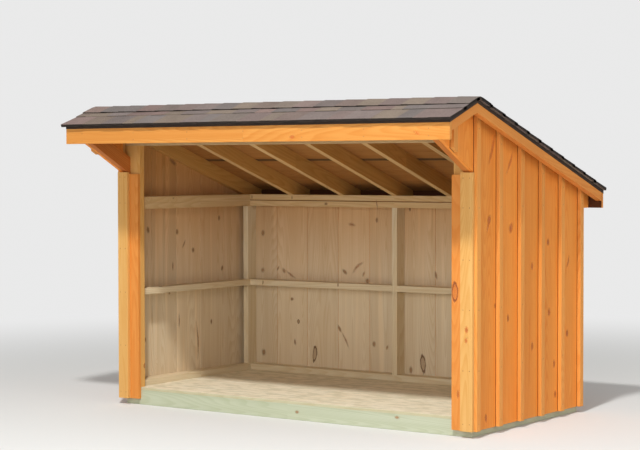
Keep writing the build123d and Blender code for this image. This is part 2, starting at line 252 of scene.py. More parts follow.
def domes(centres, normals, along, sizes, rings, spokes, height, bends=0.0):
    """Low domes over ellipses, each closed below by a flat disc.

    For radius r and angle a, a point lies at centre + r * (cos(a) * half length * along + sin(a) *
    half width * across) + height * (1 - r * r) * normal; across is normal x along. A bend moves it
    further across by bend * (r * cos(a)) squared. The lowest ring is sunk by the height. Returns
    vertices, faces, and for each point r * cos(a), r * sin(a) and a number of the dome's own.
    """
    centres, normals, along, sizes = (
        np.asarray(given, float) for given in (centres, normals, along, sizes))
    bends = np.broadcast_to(np.asarray(bends, float), len(centres))
    across = np.cross(normals, along)
    radius = np.concatenate([[0.04], np.linspace(0.3, 1, rings - 1), [1.0, 0.04]])
    lift = np.concatenate([height * (1 - radius[:rings] ** 2), [-height, -height]])
    angle = np.arange(spokes) / spokes * 2 * np.pi
    forth, sideways = radius[:, None] * np.cos(angle), radius[:, None] * np.sin(angle)

    def part(share, vectors):
        """Every point's share of its dome's vector."""
        return share[..., None] * vectors[:, None, None]

    points = (centres[:, None, None] + part(forth, sizes[:, :1] * along)
              + part(sideways, sizes[:, 1:] * across) + part(forth ** 2, bends[:, None] * across)
              + part(lift[:, None], normals))
    seed = (np.arange(len(centres)) * 0.618) % 1.0
    polar = np.stack(np.broadcast_arrays(forth, sideways, seed[:, None, None]), axis=-1)
    return points.reshape(-1, 3), close_rings(*polar.shape[:3]), polar.reshape(-1, 3)


# Shader node helpers

class Sheet:
    """Short calls that add nodes to one node tree and join them to earlier sockets."""

    def __init__(self, tree):
        self.tree = tree

    def fill(self, node, sockets):
        """Joins each named socket to an earlier one, or sets its value."""
        for key, value in sockets.items():
            if isinstance(value, bpy.types.NodeSocket):
                self.tree.links.new(value, node.inputs[key])
            else:
                node.inputs[key].default_value = value
        return node

    def node(self, kind, sockets=None, **settings):
        made = self.tree.nodes.new(kind)
        for key, value in settings.items():
            setattr(made, key, value)
        return self.fill(made, sockets or {})

    def maths(self, operation, *values, clamp=False):
        values = dict(enumerate(values))
        return self.node("ShaderNodeMath", values, operation=operation, use_clamp=clamp).outputs[0]

    def times(self, first, second):
        return self.maths("MULTIPLY", first, second)

    def line(self, value, slope, start):
        """slope * value + start"""
        return self.maths("MULTIPLY_ADD", value, slope, start)

    def away(self, value, middle):
        """How far a value lies from a middle one."""
        return self.maths("ABSOLUTE", self.maths("SUBTRACT", value, middle))

    def vector(self, operation, *values):
        made = self.node("ShaderNodeVectorMath", dict(enumerate(values)), operation=operation)
        return made.outputs["Value" if operation == "LENGTH" else "Vector"]

    def mix(self, factor, first, second, blend="MIX"):
        first, second = (colour if isinstance(colour, bpy.types.NodeSocket) else (*colour, 1)
                         for colour in (first, second))
        made = self.node("ShaderNodeMix", {0: factor, 6: first, 7: second},
                         data_type="RGBA", blend_type=blend)
        return made.outputs[2]

    def dim(self, colour, share):
        """A colour times one value."""
        return self.mix(1.0, colour, self.join(share, share, share), "MULTIPLY")

    def mix_value(self, factor, first, second):
        return self.node("ShaderNodeMix", {0: factor, 2: first, 3: second}).outputs[0]

    def noise(self, place, scale, detail=2.0, roughness=0.5):
        """Noise with a scale of its own along each axis."""
        made = self.node("ShaderNodeTexNoise", {
            "Vector": self.vector("MULTIPLY", place, scale), "Scale": 1.0, "Detail": detail,
            "Roughness": roughness})
        return made.outputs[0]

    def span(self, value, low, high, to_low=0.0, to_high=1.0, smooth=True):
        made = self.node("ShaderNodeMapRange", {0: value, 1: low, 2: high, 3: to_low, 4: to_high},
                         interpolation_type="SMOOTHSTEP" if smooth else "LINEAR")
        return made.outputs[0]

    def place(self):
        return self.node("ShaderNodeTexCoord").outputs["Object"]

    def split(self, vector):
        return self.node("ShaderNodeSeparateXYZ", {0: vector}).outputs

    def join(self, x, y, z):
        return self.node("ShaderNodeCombineXYZ", {0: x, 1: y, 2: z}).outputs[0]

    def turn(self, vector, angle):
        made = self.node("ShaderNodeVectorRotate", {"Vector": vector, "Angle": angle},
                         rotation_type="X_AXIS")
        return made.outputs["Vector"]

    def attribute(self, name, output):
        return self.node("ShaderNodeAttribute", attribute_name=name).outputs[output]

    def bump(self, height, strength, distance):
        sockets = {"Strength": strength, "Distance": distance, "Height": height}
        return self.node("ShaderNodeBump", sockets).outputs[0]


def new_material(name):
    """A material with a Principled surface, its sheet and that surface."""
    material = bpy.data.materials.new(name)
    material.use_nodes = True
    sheet = Sheet(material.node_tree)
    return material, sheet, material.node_tree.nodes["Principled BSDF"]


def built_once(maker):
    """Keeps what a maker returns, so that each group and material is made a single time."""
    kept = {}

    def give(*key):
        if key not in kept:
            kept[key] = maker(*key)
        return kept[key]

    return give


@built_once
def wood_figure():
    """Growth rings, fibres and knots of sawn softwood, whose grain runs along the third coordinate.

    The rings are contour lines of a noise drawn out along the grain. A knot is a ball around a
    random point of a cell pattern, and it bends the rings near it.
    """
    group = bpy.data.node_groups.new("Wood figure", "ShaderNodeTree")
    for way, keys in (("INPUT", "Place,Seed,Rings,Knot Size,Knot Share"),
                      ("OUTPUT", "Rings,Fibres,Streaks,Knot,Bark,Patches,Sapwood")):
        for key in keys.split(","):
            kind = "NodeSocketVector" if key == "Place" else "NodeSocketFloat"
            group.interface.new_socket(name=key, in_out=way, socket_type=kind)
    s = Sheet(group)
    given = s.node("NodeGroupInput").outputs
    shift = s.node("ShaderNodeVectorMath", {0: (13.7, 5.1, 31.3), "Scale": given["Seed"]},
                   operation="SCALE")
    place = s.vector("ADD", given["Place"], shift.outputs["Vector"])
    cell = s.vector("MULTIPLY", place, (6.0, 6.0, 2.2))
    cells = s.node("ShaderNodeTexVoronoi", {"Vector": cell, "Scale": 1.0}, feature="F1")
    offset = s.vector("SUBTRACT", cell, cells.outputs["Position"])
    distance = s.vector("LENGTH", s.vector("MULTIPLY", offset, (1 / 6.0, 1 / 6.0, 0.68 / 2.2)))
    chance = s.split(cells.outputs["Color"])
    size = s.times(given["Knot Size"], s.line(chance[0], 0.9, 0.4))
    size = s.times(size, s.maths("LESS_THAN", chance[1], given["Knot Share"]))
    near = s.maths("DIVIDE", distance, s.maths("MAXIMUM", size, 0.0002))
    wobble = s.noise(place, (90.0, 90.0, 60.0), 1.0)
    near = s.line(wobble, 0.5, s.maths("SUBTRACT", near, 0.25))
    bend = s.maths("EXPONENT", s.times(s.times(near, near), -0.16))
    field = s.line(bend, 0.07, s.noise(place, (5.5, 5.5, 0.34), 1.5, 0.4))
    field = s.line(s.noise(place, (45.0, 45.0, 1.6)), 0.012, field)
    phase = s.maths("FRACT", s.times(field, given["Rings"]))
    s.fill(s.node("NodeGroupOutput"), {
        "Rings": s.times(s.span(phase, 0.2, 0.85), s.span(phase, 1.0, 0.88)),
        "Fibres": s.noise(place, (260.0, 260.0, 5.0), 3.0, 0.65),
        "Streaks": s.noise(place, (26.0, 26.0, 0.7), 3.0, 0.6),
        "Knot": s.span(near, 1.05, 0.8),
        "Bark": s.times(s.span(near, 0.62, 0.92), s.span(near, 1.25, 1.0)),
        "Patches": s.noise(place, (4.0, 4.0, 0.9)),
        "Sapwood": s.span(s.noise(place, (15.0, 15.0, 0.5), 1.0), 0.56, 0.68)})
    return group


def grain_place(s, way, pitch):
    """Where a point lies in its piece, with the grain as third coordinate, and a tone per piece.

    way is the grain's direction: an axis, a slope angle in the YZ plane, "rake" for the slopes of
    both roof sides, or "own" for a piece that carries its own coordinates. pitch is the shift and
    scale that give like pieces cells of their own.
    """
    if way == "own":
        return s.attribute("grain", "Vector"), s.attribute("tone", "Fac")
    place = s.place()
    step = s.vector("MULTIPLY", s.vector("ADD", place, pitch[0]), pitch[1])
    cell = s.node("ShaderNodeTexWhiteNoise", {"Vector": s.vector("FLOOR", step)})
    tone = s.split(cell.outputs["Color"])[0]
    x, y, z = s.split(place)
    if way == "x":
        return s.join(y, z, x), tone
    if way == "z":
        return place, tone
    if way == "rake":
        slopes = {0: s.maths("LESS_THAN", y, RIDGE_Y), 4: s.turn(place, REAR_ANGLE),
                  5: s.turn(place, -FRONT_ANGLE)}
        place = s.node("ShaderNodeMix", slopes, data_type="VECTOR").outputs[1]
    elif way != "y":
        place = s.turn(place, -way)
    x, y, z = s.split(place)
    return s.join(x, z, y), tone


def wood(name, way, palette, rings=45.0, knot_share=0.25, roughness=0.62, pitch=HALVES,
         spread=0.1, tint=None, sapwood=0.0):
    """A sawn board's finish from the wood figure: pale early wood, darker late wood and knots.

    tint is a colour and a maker of its share, for parts of a board that look darker or paler;
    spread is how far tones differ, and sapwood how far the broad pale bands brighten.
    """
    material, s, surface = new_material(name)
    place, tone = grain_place(s, way, pitch)
    figure = s.node("ShaderNodeGroup", {
        "Place": place, "Seed": tone, "Rings": rings, "Knot Size": 0.008,
        "Knot Share": knot_share}, node_tree=wood_figure()).outputs
    early, late, heart, bark = (linear(*colour) for colour in palette)
    shade = s.line(figure["Fibres"], 0.35, s.times(figure["Rings"], 0.45))
    streaks = s.span(figure["Streaks"], 0.3, 0.75, -0.15, 0.45, smooth=False)
    shade = s.maths("ADD", shade, streaks)
    colour = s.mix(s.maths("SUBTRACT", shade, 0.05, clamp=True), early, late)
    colour = s.mix(s.times(s.span(figure["Patches"], 0.4, 0.72), 0.3), colour, late)
    colour = s.mix(s.times(figure["Knot"], 0.8), colour, heart)
    colour = s.mix(s.times(figure["Bark"], 0.75), colour, bark)
    if tint:
        colour = s.mix(tint[1](s, place), colour, linear(*tint[0]), "MULTIPLY")
    share = s.line(tone, spread, 1 - spread / 2)
    share = s.line(figure["Sapwood"], sapwood, share)
    share = s.line(figure["Patches"], spread, s.maths("SUBTRACT", share, spread / 2))
    height = s.line(figure["Rings"], -0.5, s.times(figure["Fibres"], 0.7))
    height = s.line(figure["Knot"], 0.5, height)
    s.fill(surface, {"Base Color": s.dim(colour, share), "Specular IOR Level": 0.3,
                     "Roughness": s.line(figure["Fibres"], 0.2, roughness - 0.1),
                     "Normal": s.bump(height, 0.35, 0.0006)})
    return material


# Makers of a tint's share, from 0 to 1

def facing(axis, low, high):
    """A share that grows as the surface's normal turns along an axis."""
    def share(s, place):
        normal = s.node("ShaderNodeNewGeometry").outputs["Normal"]
        return s.span(s.split(normal)[axis], low, high)
    return share


def over_height(low, high):
    """A share that grows with the height along upright grain."""
    return lambda s, place: s.span(s.split(place)[2], low, high)


def painted_shade_on_rafter_sides(s, place):
    """Painted shade on the rafters' sides, and all over the two rafters against the side walls."""
    x = s.maths("ABSOLUTE", s.split(s.place())[0])
    return s.maths("MAXIMUM", facing(2, -0.8, -0.3)(s, place),
                   s.maths("GREATER_THAN", x, WALL_X - RAFTER_PITCH / 2))


def painted_shade_between_plies(s, place):
    """Painted shade in the joint at half height of a plate that is made of two boards."""
    middle = (PLATE_LOW[2] + PLATE_HIGH[2]) / 2
    return s.span(s.away(s.split(s.place())[2], middle), 0.0042, 0.0018)


def painted_shade_beside_battens(s, place):
    """Painted shade: thin dark lines on the boards' outer faces along both edges of each batten.

    The distance to a batten's middle is the place along the wall, repeated at the battens' pitch.
    """
    x, y, _ = s.split(s.place())
    lines = []
    for along, middle, pitch in ((y, BATTEN_MIDDLE, SIDE_PITCH), (x, BACK_MIDDLE, BACK_PITCH)):
        away = s.away(s.maths("FRACT", s.line(along, 1 / pitch, 0.5 - middle / pitch)), 0.5)
        edge = BATTEN_WIDTH / 2
        lines.append(s.span(away, (edge + PAINTED_SHADE_LINE_WIDTH) / pitch, edge / pitch))
    on_side = s.maths("GREATER_THAN", s.maths("ABSOLUTE", x), SKIN_X - SKIN_DEPTH)
    on_back = s.maths("GREATER_THAN", y, BACK_HIGH[1] - SKIN_DEPTH)
    return s.mix_value(on_side, s.times(on_back, lines[1]), lines[0])


def flakes_and_edge(s, place):
    """The deck's long darker flakes, and the whole of its cut front edge."""
    flakes = s.span(s.noise(place, (18.0, 18.0, 9.0), 3.0, 0.6), 0.42, 0.62, 0.0, 0.55)
    return s.maths("MAXIMUM", facing(1, -0.3, -0.8)(s, place), flakes)


def along_joint(s, place):
    """The dark edges of the sheathing panels along the joint between their two courses."""
    return s.span(s.away(s.split(place)[0], PANEL_JOINT), 0.026, 0.012)


# Display colours of each timber: early wood, late wood, knot and the knot's bark
STAINED = ((226, 151, 73), (211, 126, 48), (156, 78, 26), (100, 46, 16))
BOARD = ((240, 156, 67), (226, 130, 43), (164, 80, 26), (104, 48, 16))
BATTEN = ((230, 160, 80), (216, 136, 56), (168, 92, 34), (110, 54, 20))
TRIM = ((224, 176, 106), (210, 152, 76), (170, 98, 42), (110, 56, 24))
WING = ((206, 126, 56), (180, 98, 36), (130, 64, 24), (90, 42, 16))
FASCIA = ((218, 152, 74), (204, 127, 49), (150, 76, 26), (98, 45, 16))
PINE = ((224, 206, 176), (206, 180, 142), (150, 112, 74), (100, 72, 48))
STUD = ((224, 208, 176), (206, 182, 142), (160, 120, 82), (104, 76, 50))
PLATE = ((218, 188, 142), (198, 162, 108), (148, 104, 60), (96, 66, 38))
RAFTER = ((196, 146, 88), (172, 120, 64), (120, 74, 36), (80, 50, 26))
RAFTER_FACE = ((218, 182, 128), (196, 155, 99), (158, 108, 66), (104, 70, 42))
TREATED = ((195, 199, 175), (173, 178, 146), (124, 118, 84), (92, 86, 60))
PLY = ((242, 234, 210), (226, 210, 178), (160, 136, 104), (120, 96, 68))
SHEET = ((175, 121, 64), (150, 98, 44), (112, 70, 36), (76, 48, 24))

# Each finish: the grain's way, its colours, and what differs from a plain wood
# Painted shade under the rear eave: on the rear fascia's inner face and the soffit's upper face
EAVE_PAINTED_SHADE = (90, 74, 58)
SATIN = {"roughness": 0.55}
UPRIGHT = {"roughness": 0.58, "spread": 0.12}
BARE = {"roughness": 0.68}
ROUGH = {"roughness": 0.7}
PANEL = {"roughness": 0.8, "rings": 60.0, "knot_share": 0.2}
FINISHES = {
    # The stained boards' tint is painted shade along both edges of each batten
    "stained_boards": ("own", BOARD, {"spread": 0.16, "tint": ((120, 80, 52), painted_shade_beside_battens)}),
    # The bare boards' tint is painted shade: darker and warmer towards the roof
    "bare_boards": ("own", PINE, {**ROUGH, "rings": 50.0, "spread": 0.14, "sapwood": 0.14,
                                  "tint": ((232, 188, 132), over_height(0.5, 1.6))}),
    "stained_upright": ("z", STAINED, UPRIGHT),
    "post_upright": ("z", TRIM, UPRIGHT),
    "batten_side": ("z", BATTEN, {**UPRIGHT, "pitch": SIDE_STEP}),
    "batten_back": ("z", BATTEN, {**UPRIGHT, "pitch": BACK_STEP}),
    "trim_upright": ("z", TRIM, SATIN),
    "trim_level": ("x", FASCIA, SATIN),
    "stained_rake": ("rake", STAINED, {}),
    "brace_slope": (-WING_ANGLE, WING, {}),
    "eave_board": ("x", STAINED, {"tint": (EAVE_PAINTED_SHADE, facing(1, -0.3, -0.8))}),
    "eave_soffit": ("x", STAINED, {"tint": (EAVE_PAINTED_SHADE, facing(2, 0.3, 0.8))}),
    "bare_upright": ("z", STUD, BARE),
    "bare_across": ("x", STUD, BARE),
    "bare_deep": ("y", STUD, BARE),
    "plate_across": ("x", PLATE, BARE),
    # The doubled plate's tint is painted shade in the groove between its two boards
    "plate_doubled": ("x", PLATE, {**BARE, "tint": ((150, 118, 84), painted_shade_between_plies)}),
    "plate_deep": ("y", PLATE, BARE),
    # The rear rafters' tint is painted shade on their sides and on the two end rafters
    "bare_rear_slope": (-REAR_ANGLE, RAFTER_FACE, {**BARE, "pitch": RAFTER_STEP,
                                                   "tint": ((242, 222, 179), painted_shade_on_rafter_sides)}),
    "bare_front_slope": (FRONT_ANGLE, RAFTER, {**BARE, "pitch": RAFTER_STEP}),
    "treated_across": ("x", TREATED, ROUGH),
    "treated_deep": ("y", TREATED, ROUGH),
    "deck": ("x", PLY, {"roughness": 0.75, "rings": 60.0, "knot_share": 0.1,
                        "tint": ((211, 213, 200), flakes_and_edge)}),
    "roof_panels": ("own", SHEET, {**PANEL, "tint": ((140, 150, 170), along_joint)}),
    "roof_boards": ("x", SHEET, PANEL),
}


@built_once
def finish(name):
    """One of the wood finishes, made at its first use."""
    way, palette, settings = FINISHES[name]
    return wood(name, way, palette, **settings)


# The nodes that keep their own shape, by finish
FRAMING = {
    "treated_across": "front_rim back_rim",
    "treated_deep": "floor_joists",
    "deck": "floor_deck",
    "bare_across": "back_bottom_plate back_girts",
    "bare_deep": "left_bottom_plate right_bottom_plate side_girts",
    "bare_upright": "back_studs corner_studs",
    "plate_across": "front_header ridge_board",
    "plate_doubled": "back_top_plate",
    "plate_deep": "left_top_plate right_top_plate",
    "bare_rear_slope": "rear_rafters",
    "bare_front_slope": "front_rafters",
    "roof_boards": "front_sheathing",
}
STAINED_TRIM = {
    "stained_upright": "left_front_board right_front_board",
    "post_upright": "left_front_post right_front_post",
    "batten_side": "left_battens right_battens",
    "batten_back": "back_battens",
    "trim_upright": "left_corner_trim right_corner_trim",
    "trim_level": "front_fascia",
    "eave_board": "rear_fascia",
    "eave_soffit": "rear_soffit",
    "brace_slope": "left_brace right_brace",
    "stained_rake": "left_rake_board right_rake_board",
}


def coat(name, material):
    """Gives a node one material, without touching its mesh."""
    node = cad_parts[name]
    node.data.materials.clear()
    node.data.materials.append(material)
    return node


def dress(table):
    """Gives nodes their wood finishes and narrow rounded edges."""
    for key, names in table.items():
        for name in names.split():
            node = coat(name, finish(key))
            weld = node.modifiers.new("Join", "WELD")
            weld.merge_threshold = 0.00005
            bevel = node.modifiers.new("Soft edges", "BEVEL")
            bevel.width = EDGE_ROUND
            bevel.segments = 2
            bevel.limit_method = "ANGLE"
            bevel.angle_limit = math.radians(25)


# Larger knots by face, in millimetres: the place along the face, height, half length and half
# width, then the lean in degrees, the bend and the kind, where they aren't 0, 0 and SMALL
SMALL, LOOP, STREAK = 0.0, 0.5, 1.0
KNOTS = {
    "back": [
        (-672, 226, 70, 22, 6, 6, LOOP), (155, 212, 75, 26, -4, 0, LOOP),
        (-1094, 1006, 30, 20, 10), (-1095, 760, 26, 22), (-1089, 214, 34, 22),
        (-922, 762, 30, 18, -35), (-868, 738, 70, 12, 122, 6, STREAK), (-857, 577, 16, 20),
        (-833, 295, 30, 12, -8), (-435, 769, 32, 16, -50), (-340, 806, 78, 16, 48, -18, STREAK),
        (-262, 716, 28, 22), (-290, 760, 26, 12, 20), (-188, 1107, 24, 14), (-212, 317, 28, 18),
        (-112, 300, 22, 12, 20), (-478, 402, 36, 14, -24), (-432, 335, 95, 10, -30, 10, STREAK),
        (66, 170, 34, 18), (59, 1180, 20, 12), (250, 773, 40, 12, -12), (-970, 775, 26, 10, 25),
        (-1160, 205, 14, 10), (-380, 1075, 16, 40, 10, 0, STREAK),
    ],
    "left": [
        (-127, 1034, 26, 18), (-407, 1055, 30, 18, -10), (300, 1112, 24, 18),
        (32, 913, 24, 20), (-60, 955, 45, 12, 30, 0, STREAK), (330, 783, 26, 16, 12),
        (78, 330, 185, 13, -4, 22, STREAK), (215, 440, 26, 14), (-441, 373, 26, 14),
        (-205, 650, 12, 14), (-110, 470, 70, 10, 0, 0, STREAK), (-163, 1477, 22, 60, 30, 0, STREAK),
        (-470, 230, 26, 12), (-170, 820, 40, 10, 0, 0, STREAK),
    ],
    "plate": [
        (-1028, 684, 22, 8, 8, 4), (-428, 690, 18, 9), (-1117, 1247, 18, 6),
        (-790, 1246, 18, 6), (-520, 1208, 14, 20), (-130, 1209, 8, 40, 80, 0, STREAK),
    ],
    "rim": [
        (68, 46, 14, 22), (746, 70, 14, 24),
    ],
    "side": [
        (205, 1016, 30, 22), (16, 888, 30, 18), (453, 891, 55, 14, 25, 8, STREAK),
        (134, 826, 26, 18), (220, 616, 34, 20), (-258, 616, 28, 16), (-402, 692, 22, 14),
        (18, 439, 34, 20), (443, 479, 32, 20), (282, 313, 32, 20), (296, 139, 30, 18),
        (-498, 94, 34, 20), (-468, 1159, 40, 26, 30), (-226, 1109, 44, 28, 20),
        (-437, 1535, 125, 22, 22, 12, STREAK), (-239, 1465, 95, 20, 30, 10, STREAK),
        (-479, 1127, 60, 14, 15, 0, STREAK), (-360, 170, 110, 20, 24, 0, STREAK),
    ],
    "board": [
        (1128, 777, 72, 26, 0, 6, LOOP), (1147, 231, 32, 12),
    ],
    "trim": [
        (1213, 580, 28, 16), (1210, 521, 22, 14),
    ],
    "fascia": [
        (335, 1607, 16, 26), (1131, 1619, 18, 34, 20, 0, STREAK),
    ],
}
# The axis of each such face's normal, the face's place on that axis, and the normal's sign
KNOT_FACES = {
    "back": (1, WALL_BACK, -1), "left": (0, -WALL_X, 1), "plate": (1, PLATE_LOW[1], -1),
    "rim": (1, RIM_FRONT, -1), "side": (0, SKIN_X, 1), "board": (1, BOARD_FRONT, -1),
    "trim": (1, TRIM_LOW[1], -1), "fascia": (1, FASCIA_LOW[1], -1),
}


# Sizes and colours that a user would change

class LogStoreStage(bpy.types.PropertyGroup):
    """The plain floor, the soft lamps and the background that the camera sees."""
    floor_size: bpy.props.FloatProperty(
        name="Floor size", description="Side of the pale floor", default=160.0, unit="LENGTH")
    floor_colour: bpy.props.FloatVectorProperty(
        name="Floor colour", description="Colour of the floor", subtype="COLOR",
        default=linear(218, 218, 215))
    key_power: bpy.props.FloatProperty(
        name="Key lamp", description="Power of the lamp at the front right", default=690.0,
        unit="POWER")
    fill_strength: bpy.props.FloatProperty(
        name="Sky light", description="Strength of the even light from all sides", default=0.4)
    background: bpy.props.FloatProperty(
        name="Background", description="Brightness of the background that the camera sees",
        default=0.82)


class LogStoreRoof(bpy.types.PropertyGroup):
    """Shingle courses and their colours."""
    exposure: bpy.props.FloatProperty(
        name="Exposure", description="Part of each course that shows, along the slope",
        default=0.142, unit="LENGTH")
    shingle_colour: bpy.props.FloatVectorProperty(
        name="Shingle colour", description="Middle colour of the mineral granules",
        subtype="COLOR", default=linear(118, 106, 100))


# Operators

class LOGSTORE_OT_framing(bpy.types.Operator):
    """Gives the floor, plates, studs, girts and rafters their bare-wood finishes"""
    bl_idname = "logstore.framing"
    bl_label = "Framing timber"

    def execute(self, context):
        """Each node keeps its shape and takes the grain of its own length."""
        dress(FRAMING)
        return {"FINISHED"}


class LOGSTORE_OT_trim(bpy.types.Operator):
    """Gives the battens, posts, trims, fascias, rake boards, braces and soffit their stain"""
    bl_idname = "logstore.trim"
    bl_label = "Stained trim"

    def execute(self, context):
        """The boards that face the weather are stained, the corner trims a little paler."""
        dress(STAINED_TRIM)
        return {"FINISHED"}


class LOGSTORE_OT_siding(bpy.types.Operator):
    """Makes the wall boards one by one, stained outside and bare inside"""
    bl_idname = "logstore.siding"
    bl_label = "Siding boards"

    def execute(self, context):
        """Side boards run to the roof's underside, wing boards start at the slanted edge."""
        def spans(edges, low):
            return [(first, last, low) for first, last in zip(edges, edges[1:])]

        foot, eave = level(SIDING_LOW[2]), level(BACK_HIGH[2])
        wing = (SIDING_LOW[1], BATTEN_MIDDLE - SIDE_PITCH, SKIN_FRONT)
        wall = [BATTEN_MIDDLE + k * SIDE_PITCH for k in range(1, SIDE_BAYS)]
        back = [BACK_MIDDLE + k * BACK_PITCH for k in range(1, BACK_BAYS)]
        boards = (spans(wing, wing_bottom) + spans((SKIN_FRONT, *wall, WALL_BACK), foot)
                  + spans((WALL_BACK, SIDING_HIGH[1]), eave))
        chance = np.random.default_rng(7)
        for side, label in ((-1, "left"), (1, "right")):
            board_wall(label, boards, roof_underside, SKIN_X, WALL_X, side, chance,
                       stained=(0, 1, len(boards) - 1))
        board_wall("back", spans((-SKIN_X, *back, SKIN_X), foot), eave, BACK_HIGH[1], WALL_BACK,
                   0, chance)
        return {"FINISHED"}


def knot_wood(name, *palette):
    """Knots and resin streaks that fade into the board around them.

    A small knot is darkest in its middle, a loop is a dark ring around paler wood, and a streak is
    a thin even veil. Each point's alpha follows its distance from the knot's middle. The palette
    holds display colours: heart, rim, bark and resin.
    """
    material, s, surface = new_material(name)
    heart, rim, bark, resin = (linear(*colour) for colour in palette)
    x, y, seed = s.split(s.attribute("polar", "Vector"))
    kind = s.attribute("kind", "Fac")
    loop = s.maths("LESS_THAN", s.away(kind, LOOP), 0.25)
    streak = s.maths("GREATER_THAN", kind, 0.75)
    place = s.place()
    fine = s.noise(place, (260.0, 260.0, 60.0))
    wobble = s.line(s.noise(place, (55.0, 55.0, 30.0)), 0.5, -0.25)
    even_radius = s.vector("LENGTH", s.join(x, y, 0.0))
    radius = s.maths("ADD", even_radius, wobble)
    ring = s.maths("FRACT", s.line(radius, 4.0, seed))
    dark = s.times(s.span(radius, 0.42, 0.6), s.span(radius, 0.86, 0.66))
    core = s.times(s.span(radius, 0.35, 0.1), s.maths("SUBTRACT", 1.0, loop))
    colour = s.mix(s.line(s.span(ring, 0.1, 0.9), 0.45, s.times(fine, 0.5)), heart, rim)
    colour = s.mix(s.times(dark, loop), colour, bark)
    colour = s.mix(s.times(core, 0.4), colour, bark)
    colour = s.mix(streak, colour, resin)
    spot = s.span(radius, 0.95, 0.1, 0.0, 0.8)
    outline = s.maths("MAXIMUM", s.times(dark, 0.85), s.span(radius, 0.7, 0.5, 0.0, 0.4))
    veil = s.times(s.span(radius, 0.9, 0.15, 0.0, 0.62), s.line(fine, 0.8, 0.5))
    cover = s.times(s.mix_value(streak, s.mix_value(loop, spot, outline), veil),
                    s.span(even_radius, 1.0, 0.85))
    # The domes cast no shadow, which would darken the board under them twice
    lit = s.maths("SUBTRACT", 1.0, s.node("ShaderNodeLightPath").outputs["Is Shadow Ray"])
    s.fill(surface, {"Base Color": colour, "Alpha": s.times(cover, lit), "Roughness": 0.6})
    return material


class LOGSTORE_OT_knots(bpy.types.Operator):
    """Sets the larger knots and resin streaks into the wall boards, posts, fascia and rim"""
    bl_idname = "logstore.knots"
    bl_label = "Knots"

    def execute(self, context):
        """Each knot is a low dome on its face, stretched along the grain, leaned and bent."""
        bare = knot_wood("bare_knot_wood", (188, 146, 100), (146, 108, 70), (112, 80, 52),
                         (178, 128, 88))
        stained = knot_wood("stained_knot_wood", (212, 124, 50), (172, 92, 34), (124, 60, 26),
                            (204, 118, 48))
        self.make("wall_knots", "bare_pine", bare, ("back", "left", "plate", "rim"))
        self.make("stained_knots", "stained_pine", stained, ("side", "board", "trim", "fascia"))
        return {"FINISHED"}

    def make(self, name, slot, material, faces):
        """One piece with all the knots of some faces."""
        def across(axis, depth, first, height):
            """A point or way from its part along the face's normal, along the wall and up."""
            return (depth, first, height) if axis == 0 else (first, depth, height)

        centres, normals, along, sizes, bends, kinds = [], [], [], [], [], []
        for axis, depth, sign, row in ((*KNOT_FACES[face], row) for face in faces
                                       for row in KNOTS[face]):
            row += (0, 0, SMALL)[len(row) - 4:]
            first, height, half_long, half_wide, lean, bend, kind = row
            lean = math.radians(lean)
            centres.append(across(axis, depth, first / 1000, height / 1000))
            normals.append(across(axis, sign, 0, 0))
            along.append(across(axis, 0, math.sin(lean), math.cos(lean)))
            sizes.append((half_long / 1000, half_wide / 1000))
            bends.append(bend / 1000)
            kinds.append(kind)
        vertices, quads, polar = domes(centres, normals, along, sizes, 5, 24, KNOT_HEIGHT,
                                       bends)
        make_piece(name, slot, (), [material], vertices, quads, polar=polar,
                   kind=np.repeat(kinds, len(vertices) // len(kinds)))


class LOGSTORE_OT_nails(bpy.types.Operator):
    """Drives the nails through battens, trims, fascia and wall boards"""
    bl_idname = "logstore.nails"
    bl_label = "Nails"

    def execute(self, context):
        """Round heads, stained over with the boards, stand a little proud of them."""
        heads = []
        for number in range(SIDE_BAYS + 1):
            y = BATTEN_MIDDLE + number * SIDE_PITCH
            for side in (-1, 1):
                heads += [((side * BATTEN_FACE, y, z), (side, 0, 0))
                          for z in (*NAIL_LEVELS, roof_underside(y) - NAIL_UNDER_ROOF)]
        for number in range(BACK_BAYS + 1):
            x = BACK_MIDDLE + number * BACK_PITCH
            heads += [((x, BACK_HIGH[1] + BATTEN_DEPTH, z), (0, 1, 0))
                      for z in np.minimum(NAIL_LEVELS, BACK_HIGH[2] - NAIL_UNDER_TOP)]
        for side in (-1, 1):
            for inset in TRIM_NAILS:
                x = side * (TRIM_HIGH[0] - inset)
                heads += [((x, TRIM_LOW[1], z), (0, -1, 0))
                          for z in (*NAIL_LEVELS, TRIM_TOP - NAIL_UNDER_TOP)]
        for number in range(RAFTER_BAYS + 1):
            x = -WALL_X + HALF_STUD + number * RAFTER_PITCH
            heads += [((x, FASCIA_LOW[1], z), (0, -1, 0))
                      for z in (FASCIA_LOW[2] + FASCIA_NAILS[0], FASCIA_HIGH[2] - FASCIA_NAILS[1])]
        centres, normals = zip(*heads)
        vertices, faces, _ = domes(centres, normals, [(0, 0, 1)] * len(heads),
                                   [(NAIL_RADIUS, NAIL_RADIUS)] * len(heads), 3, 12, NAIL_HEIGHT)
        material, s, surface = new_material("stained_nail")
        stain = s.span(s.noise(s.place(), (60.0, 60.0, 60.0)), 0.35, 0.65)
        colour = s.mix(stain, linear(150, 100, 52), linear(176, 124, 68))
        s.fill(surface, {"Base Color": colour, "Metallic": 0.2, "Roughness": 0.5})
        make_piece("nail_heads", "drip_edge", (), [material], vertices, faces)
        return {"FINISHED"}


